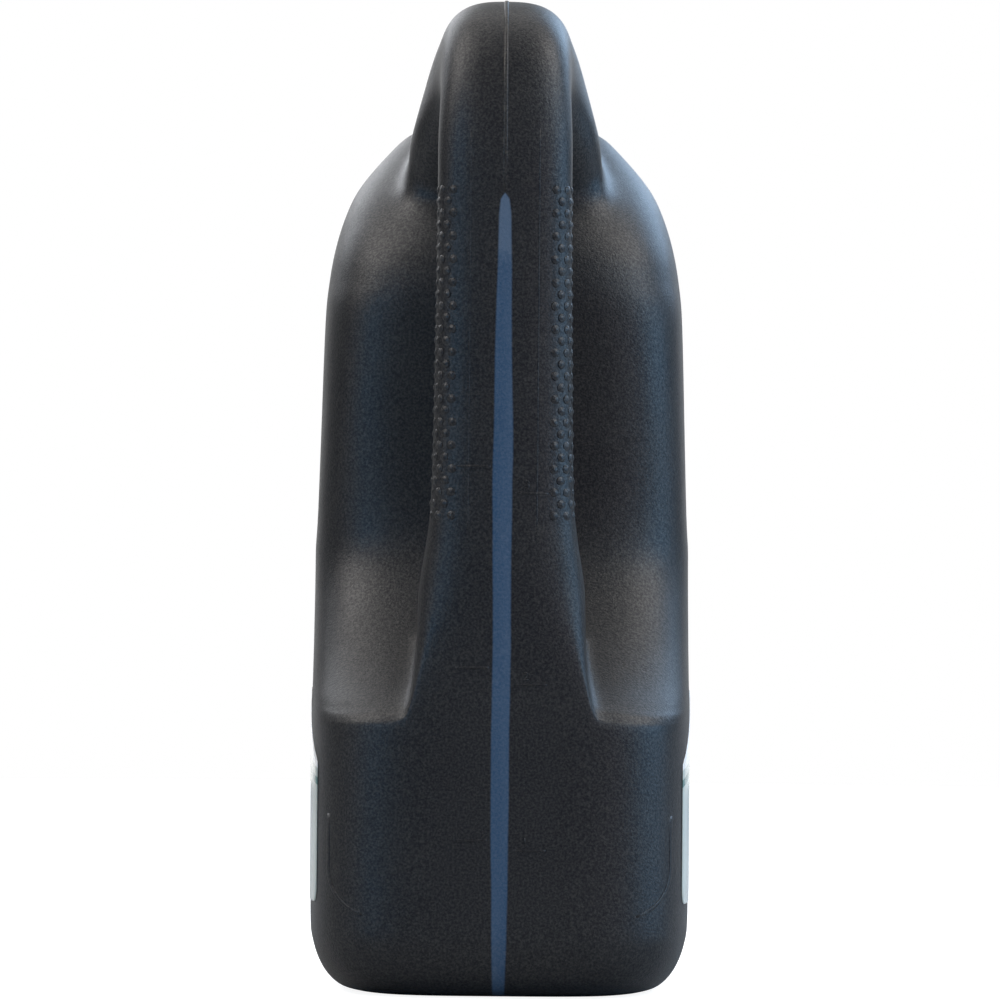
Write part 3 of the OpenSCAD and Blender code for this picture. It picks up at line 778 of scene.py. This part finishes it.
SEAM_FROM = 236.0  # the near side's seam starts above the stripe
FAR_SEAM_FROM = 4.0
SEAM_NEAR = 8.0  # a ray that hits further from its line than this has met another wall
SEAM_ACROSS = [(-1, -0.12), (-0.6, 0.75), (0, 1), (0.6, 0.75), (1, -0.12)]
LINE_X = 10.2
LINE_LOW = 138.0
LINE_HIGH = 262.0


def ridge_along(tree, line, half, height, turn=1, offset=0.0, reach=12.0, ends=3):
    """A thin closed ridge laid on the surface along a y z line. turn 1 or -1 gives its outer side."""
    spots = []
    line = np.array(line)
    run = np.gradient(line, axis=0)
    for (y, z), (dy, dz) in zip(line, run):
        out = Vector((0, -dz, dy)) / math.hypot(dy, dz) * turn
        at = Vector((offset * MM, y * MM, z * MM))
        got = ray(tree, at + out * reach * MM, -out)
        if got is not None and (got[0] - at).length < SEAM_NEAR * MM:
            spots.append((got[0], out))
    points = []
    for i, (p, out) in enumerate(spots):
        fade = min(1.0, i / ends, (len(spots) - 1 - i) / ends)
        for x, h in SEAM_ACROSS:
            h = h * height * fade if h > 0 else h
            points.append(p + Vector((x * half * MM, 0, 0)) + out * h * MM)
    return points, rod_faces(len(spots), len(SEAM_ACROSS))


def join_parts(name, parts):
    """One object of several parts, each a pair of points and faces."""
    points, faces = [], []
    for p, f in parts:
        shift = len(points)
        points += p
        faces += [tuple(v + shift for v in face) for face in f]
    return mesh_object(name, points, faces)


def seam_and_lines(tree, material):
    """The parting seam round the bottle and the insert's two edge lines on the grip."""
    rows, _, _ = body_rows()
    sections = between(between(handle_sections()))
    outer = [(s[0], s[1]) for s in sections if s[1] >= SEAM_FROM]
    inner = [(s[2], s[3]) for s in sections]
    far = [(r[3], r[0]) for r in between(between(rows, STRAIGHT_ROWS), 2 * STRAIGHT_ROWS)
           if r[0] > FAR_SEAM_FROM]
    seam = join_parts("parting_seam", [
        ridge_along(tree, outer, 0.8, 0.34, ends=9),
        ridge_along(tree, far, 0.45, 0.22, turn=-1),
        ridge_along(tree, inner, 0.45, 0.22, turn=-1, reach=6),
    ])
    place(seam, "bottle_body", material)
    face = [(s[0], s[1]) for s in sections if LINE_LOW <= s[1] <= LINE_HIGH]
    lines = join_parts("insert_lines", [
        ridge_along(tree, face, 0.24, 0.10, offset=x) for x in (-LINE_X, LINE_X)])
    place(lines, "bottle_body", material)


IN_FRONT = -0.16  # rays at the near face start here, in metres
BAR_ACROSS = [(-1, -0.15), (-0.5, 1), (0.5, 1), (1, -0.15)]
BAR_STEPS = 14
BAR_HALF = 0.42
MARK_H = 0.30


def front_spot(tree, x, z):
    return ray(tree, (x * MM, IN_FRONT, z * MM), (0, 1, 0))[0]


def mark_bar(tree, x0, x1, z):
    """A raised level line on the near face, between two places across it, that fades at its ends."""
    points = []
    for i in range(BAR_STEPS + 1):
        x = x0 + (x1 - x0) * i / BAR_STEPS
        fade = min(1.0, i * 2 / BAR_STEPS + 0.2, (BAR_STEPS - i) * 2 / BAR_STEPS + 0.2)
        for dz, h in BAR_ACROSS:
            h = h * MARK_H * fade if h > 0 else h
            points.append(front_spot(tree, x, z + dz * BAR_HALF) + Vector((0, -h * MM, 0)))
    return points, rod_faces(BAR_STEPS + 1, len(BAR_ACROSS))


DIGIT_SIZE = 3.6
DIGIT_SINK = -0.15


def digit_shape(tree, digit, x, z):
    """A raised plain digit laid on the near face."""
    curve = bpy.data.curves.new("digit", "FONT")
    curve.body = digit
    curve.size = DIGIT_SIZE * MM
    curve.align_x = "CENTER"
    curve.resolution_u = 3
    curve.extrude = 0.5
    obj = bpy.data.objects.new("digit", curve)
    bpy.context.scene.collection.objects.link(obj)
    graph = bpy.context.evaluated_depsgraph_get()
    mesh = bpy.data.meshes.new_from_object(obj.evaluated_get(graph))
    points = []
    for v in mesh.vertices:
        lift = MARK_H if v.co.z > 0 else DIGIT_SINK
        points.append(front_spot(tree, x + v.co.x / MM, z + v.co.y / MM) + Vector((0, -lift * MM, 0)))
    faces = [tuple(p.vertices) for p in mesh.polygons]
    bpy.data.objects.remove(obj)
    bpy.data.meshes.remove(mesh)
    bpy.data.curves.remove(curve)
    return points, faces


PANEL_X = 51.0
PANEL_TOP = 54.0
PANEL_TURN = 38.0  # from here down the edge is a round corner of radius PANEL_R
PANEL_R = 14.0
PANEL_HALF = 0.6
PANEL_H = 0.24
PANEL_ACROSS = [(-1, -0.075), (-0.5, 0.8), (0.5, 0.8), (1, -0.075)]


def panel_lines(tree, material):
    """The fine raised edge of the flat panel low on the near face, at both sides of it."""
    path = [(PANEL_X, z) for z in np.arange(PANEL_TOP, PANEL_TURN, -2)]
    path += [(PANEL_X - PANEL_R + PANEL_R * math.cos(a), PANEL_TURN - PANEL_R * math.sin(a))
             for a in np.radians(np.arange(0, 76, 5))]
    line = np.array(path)
    run = np.gradient(line, axis=0)
    run /= np.linalg.norm(run, axis=1)[:, None]
    parts = []
    for side in (-1, 1):
        points = []
        for i, ((x, z), (dx, dz)) in enumerate(zip(line, run)):
            fade = min(1.0, (i + 0.5) / 4, (len(line) - 0.5 - i) / 7)
            for u, h in PANEL_ACROSS:
                u *= PANEL_HALF
                hit, normal = ray(tree, (side * (x + u * dz) * MM, IN_FRONT, (z - u * dx) * MM), (0, 1, 0))
                points.append(hit + normal * (h * PANEL_H * fade if h > 0 else h) * MM)
        parts.append((points, rod_faces(len(line), len(PANEL_ACROSS))))
    place(join_parts("panel_lines", parts), "bottle_body", material)


LITRE_MARKS = (47.0, 98.0, 157.6)
QUART_MARKS = (44.0, 93.0, 149.6)
MARK_NEAR = 3.6
MARK_FAR = 13.6
DIGIT_X = 7.4
DIGIT_RISE = 1.4


def level_marks(tree, material):
    """The two scales beside the stripe, litres on one side and numbered quarts on the other."""
    parts = [mark_bar(tree, -MARK_FAR, -MARK_NEAR, z) for z in LITRE_MARKS]
    for number, z in enumerate(QUART_MARKS, 1):
        parts.append(mark_bar(tree, MARK_NEAR, MARK_FAR, z))
        parts.append(digit_shape(tree, str(number), DIGIT_X, z + DIGIT_RISE))
    place(join_parts("level_marks", parts), "bottle_body", material)


LABEL_CORNER = 4.0
LABEL_ACROSS = 48
LABEL_TALL = 28
LABEL_GAP = 0.06
LABEL_THICK = 0.2
BESIDE = 0.1  # rays at the broad faces start here, in metres


def label(tree, name, node, side, material):
    """A film label that lies on the broad face, with rounded corners and a cut near upper corner."""
    low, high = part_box(node)
    near, far, bottom, top = low[1] / MM, high[1] / MM, low[2] / MM, high[2] / MM
    run, rise = (far - near) / 4, (top - bottom) / 3

    def ends(z):
        """The near and the far end of the label at one height."""
        start = near + run * max(0.0, z - top + rise) / rise
        into = max(bottom + LABEL_CORNER - z, z - top + LABEL_CORNER, 0)
        cut = LABEL_CORNER - math.sqrt(max(LABEL_CORNER**2 - into**2, 0))
        return start + cut, far - cut

    points, faces = [], []
    for i in range(LABEL_TALL + 1):
        z = bottom + (top - bottom) * (0.5 - 0.5 * math.cos(math.pi * i / LABEL_TALL))
        for y in np.linspace(*ends(z), LABEL_ACROSS + 1):
            hit, normal = ray(tree, (side * BESIDE, y * MM, z * MM), (-side, 0, 0))
            points.append(hit + normal * LABEL_GAP * MM)
    for i in range(LABEL_TALL):
        for j in range(LABEL_ACROSS):
            k = i * (LABEL_ACROSS + 1) + j
            faces.append((k, k + 1, k + LABEL_ACROSS + 2, k + LABEL_ACROSS + 1))
    obj = mesh_object(name, points, faces)
    if (obj.data.polygons[0].normal.x > 0) != (side > 0):
        obj.data.flip_normals()
    thick = obj.modifiers.new("film", "SOLIDIFY")
    thick.thickness = LABEL_THICK * MM
    thick.offset = 1
    place(obj, "bottle_body", material)
    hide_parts(node)


# The closure.

KNURLS = 60
CAP_WALL = 1.6
CREST_R = NECK_R + 2.1
CAP_R = CREST_R + CAP_WALL
KNURL_H = 0.5
KNURL_FOOT = 1.0
KNURL_HEAD = 2.4
KNURL_EASE_IN = 0.4
KNURL_EASE_OUT = 0.6


def screw_cap(material):
    """The ribbed cap with its shallow recess on top, and the thread inside it."""
    low, top = cap_low[2] / MM, cap_high[2] / MM
    inner_top = liner_high[2] / MM

    def ribs(r, z, a):
        above, below = z - low - KNURL_FOOT, top - KNURL_HEAD - z
        if r < CAP_R - 0.05 or above < 0 or below < 0:
            return r
        wave = 0.5 + 0.5 * math.cos(KNURLS * a)
        return r + KNURL_H * min(1.0, above / KNURL_EASE_IN, below / KNURL_EASE_OUT) * wave**0.7

    outline = [
        (0.01, inner_top), (CREST_R - 0.2, inner_top), (CREST_R, inner_top - 0.3), (CREST_R, low + 0.3),
        (CREST_R + 0.3, low), (CAP_R - 0.3, low), (CAP_R, low + 0.4), (CAP_R, low + KNURL_FOOT),
        (CAP_R, low + KNURL_FOOT + KNURL_EASE_IN), (CAP_R, low + 6),
        (CAP_R, top - KNURL_HEAD - KNURL_EASE_OUT), (CAP_R, top - KNURL_HEAD), (CAP_R, top - 1.5),
        (CAP_R - 0.25, top - 0.7),
        (CAP_R - 0.8, top - 0.2), (CAP_R - 1.6, top), (CAP_R - 4.2, top), (CAP_R - 4.6, top - 0.1),
        (CAP_R - 4.9, top - 0.33), (CAP_R - 5.3, top - 0.35), (CAP_R - 6.3, top - 0.35), (6, top - 0.35),
        (0.01, top - 0.35),
    ]
    cap = lathe("screw_cap_shell", outline, KNURLS * 6, ribs)
    place(cap, "cap", material)
    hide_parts("screw_cap")
    ridge = thread("cap_thread", CREST_R + 0.2, NECK_R + 0.35, THREAD_START - PITCH / 2, 1.6, 1.8, 0.8)
    place(ridge, "cap", material)


BRIDGES = 12
BRIDGE_R = 0.35


def tamper_band(material):
    """The ring left on the neck, with its inner lip and the stubs of the bridges to the cap."""
    low, top = band_low[2] / MM, band_high[2] / MM
    nib = NECK_R + 0.35
    outline = [
        (CREST_R, low + 0.2), (CREST_R + 0.2, low), (CAP_R - 0.3, low), (CAP_R, low + 0.3),
        (CAP_R, top - 0.3), (CAP_R - 0.3, top), (CREST_R + 0.2, top), (CREST_R, top - 0.2),
        (CREST_R, low + 2.6), (nib, low + 3.1), (nib, low + 2.5), (CREST_R, low + 1.1),
    ]
    band = lathe("tamper_band_ring", outline, 160)
    place(band, "bottle_body", material)
    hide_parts("tamper_band")
    gap = cap_low[2] / MM - top
    r = CAP_R - 0.55
    bridges = []
    for i in range(BRIDGES):
        a = 2 * math.pi * (i + 0.5) / BRIDGES
        centre = (r * math.sin(a) * MM, (NECK_Y + r * math.cos(a)) * MM, (top - DOME_SINK) * MM)
        bridges.append(dome(centre, (0, 0, 1), BRIDGE_R * MM, gap * 0.9 * MM, rings=3, sides=8))
    place(join_parts("band_bridges", bridges), "bottle_body", material)


# The scene round the bottle.

VIEW_DISTANCE = 2.2  # from the near face, in metres
VIEW_HEIGHT = 0.1476
FRAME_HEIGHT = 0.2955  # height of the picture at the near face
CENTRE_SHIFT = 0.00074  # of the bottle to the right in the picture
ROLL = math.radians(-0.49)
SENSOR = 36


def camera():
    """A long lens at the handle end, with the photo's small roll."""
    data = bpy.data.cameras.new("camera")
    data.sensor_width = SENSOR
    data.lens = SENSOR * VIEW_DISTANCE / FRAME_HEIGHT
    data.clip_start = 0.1
    data.clip_end = 50
    obj = bpy.data.objects.new("camera", data)
    obj.location = (-CENTRE_SHIFT, -HALF_D * MM - VIEW_DISTANCE, VIEW_HEIGHT)
    obj.rotation_euler = (math.radians(90), ROLL, 0)
    bpy.context.scene.collection.objects.link(obj)
    bpy.context.scene.camera = obj


LIGHT_DISTANCE = 1.8
LIGHT_TARGET = Vector((0, -0.02, 0.15))


def soft_light(name, azimuth, elevation, size, power, color):
    """A panel that looks at the bottle. The azimuth turns from the camera's side towards the right."""
    data = bpy.data.lights.new(name, "AREA")
    data.shape = "RECTANGLE"
    data.size, data.size_y = size
    data.energy = power
    data.color = color
    obj = bpy.data.objects.new(name, data)
    a, e = math.radians(azimuth), math.radians(elevation)
    way = Vector((math.cos(e) * math.sin(a), -math.cos(e) * math.cos(a), math.sin(e)))
    obj.location = LIGHT_TARGET + way * LIGHT_DISTANCE
    obj.rotation_euler = (-way).to_track_quat("-Z", "Y").to_euler()
    bpy.context.scene.collection.objects.link(obj)


def world():
    """White for the camera. For the rest, dark in front, dim at the back and bright right behind."""
    scene_world = bpy.data.worlds.new("studio")
    bpy.context.scene.world = scene_world
    scene_world.use_nodes = True
    tree = scene_world.node_tree
    coords = tree.nodes.new("ShaderNodeTexCoord")
    axes = tree.nodes.new("ShaderNodeSeparateXYZ")
    tree.links.new(coords.outputs["Generated"], axes.inputs[0])
    both = tree.nodes.new("ShaderNodeMath")
    for k, (low, high, bright) in enumerate(((-0.1, 0.6, 0.14), (0.86, 0.99, 1.1))):
        ramp = tree.nodes.new("ShaderNodeMapRange")
        ramp.inputs["From Min"].default_value = low
        ramp.inputs["From Max"].default_value = high
        ramp.inputs["To Max"].default_value = bright
        tree.links.new(axes.outputs[1], ramp.inputs["Value"])
        tree.links.new(ramp.outputs["Result"], both.inputs[k])
    mix = tree.nodes.new("ShaderNodeMix")
    mix.data_type = "RGBA"
    mix.inputs[7].default_value = (1, 1, 1, 1)
    paths = tree.nodes.new("ShaderNodeLightPath")
    tree.links.new(both.outputs[0], mix.inputs[6])
    tree.links.new(paths.outputs["Is Camera Ray"], mix.inputs["Factor"])
    tree.links.new(mix.outputs[2], tree.nodes["Background"].inputs["Color"])


FLOOR_R = 1.6
FLOOR_Z = -0.0002
FLOOR_RINGS = 6
FLOOR_SIDES = 64
FLOOR_GLOW = 0.9


def floor():
    """A round grey floor that shines white for the camera only."""
    points = []
    for i in range(1, FLOOR_RINGS + 1):
        r = FLOOR_R * i / FLOOR_RINGS
        for s in range(FLOOR_SIDES):
            a = 2 * math.pi * s / FLOOR_SIDES
            points.append((r * math.cos(a), r * math.sin(a), FLOOR_Z))
    faces = [tuple(reversed(range(FLOOR_SIDES)))] + ring_faces(FLOOR_RINGS, FLOOR_SIDES)
    obj = mesh_object("floor", points, faces)
    material = new_material("floor_white", (0.40, 0.40, 0.40, 1), 0.9)
    g = Graph(material)
    g.shader.inputs["Emission Color"].default_value = (1, 1, 1, 1)
    seen = g.node("LightPath").outputs["Is Camera Ray"]
    g.link(g.math("MULTIPLY", seen, FLOOR_GLOW), g.shader.inputs["Emission Strength"])
    obj.data.materials.append(material)


def lights():
    """Warm panels above, blue ones on the right, and a narrow blue one for the grip's left edge."""
    soft_light("top", 0, 90, (1.3, 1.1), 2.2, (1.0, 0.99, 0.98))
    soft_light("top_back", 180, 62, (1.3, 0.9), 4.5, (1.0, 0.98, 0.96))
    soft_light("top_left", -84, 49, (1.2, 1.2), 19, (1.0, 0.96, 0.93))
    soft_light("top_right", 84, 49, (1.2, 1.2), 17, (1.0, 0.96, 0.93))
    soft_light("left_low", -70, 5, (0.8, 0.8), 1.5, (0.80, 0.86, 1.0))
    soft_light("left_stripe", -42, 12, (0.14, 0.9), 4.3, (0.14, 0.54, 1.0))
    soft_light("right_high", 62, 30, (0.9, 0.7), 5, (0.60, 0.80, 1.0))
    soft_light("right_low", 82, 8, (1.5, 1.1), 15.5, (0.34, 0.64, 1.0))
    soft_light("right_back", 148, 28, (1.0, 0.9), 12, (0.50, 0.72, 1.0))
    soft_light("left_back", -152, 28, (0.9, 0.8), 8, (0.92, 0.95, 1.0))
    soft_light("right_front", 30, 5, (0.7, 0.7), 1.6, (1.0, 0.85, 0.95))
    soft_light("front_left", -28, 30, (0.8, 0.5), 2.4, (1.0, 0.90, 0.84))
    soft_light("front_right", 34, 28, (0.8, 0.5), 2.2, (0.95, 0.95, 1.0))


camera()
world()
floor()
lights()
bpy.context.scene.view_settings.view_transform = "Standard"

# Every piece, and the two solids that keep their own form.
navy = navy_plastic()
closure = closure_plastic()
shell = bottle_shell(navy)
surface = evaluated_tree(shell)
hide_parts("bottle")
neck_finish(navy)
grip_dots(surface, navy)
seam_and_lines(surface, navy)
level_marks(surface, navy)
panel_lines(surface, navy)
film = label_film()
label(surface, "front_label_film", "front_label", 1, film)
label(surface, "back_label_film", "back_label", -1, film)
screw_cap(closure)
tamper_band(closure)
for node, material in (("cap_liner", liner_foam()), ("fluid", fluid_red())):
    frame["nodes"][node].data.materials.clear()
    frame["nodes"][node].data.materials.append(material)
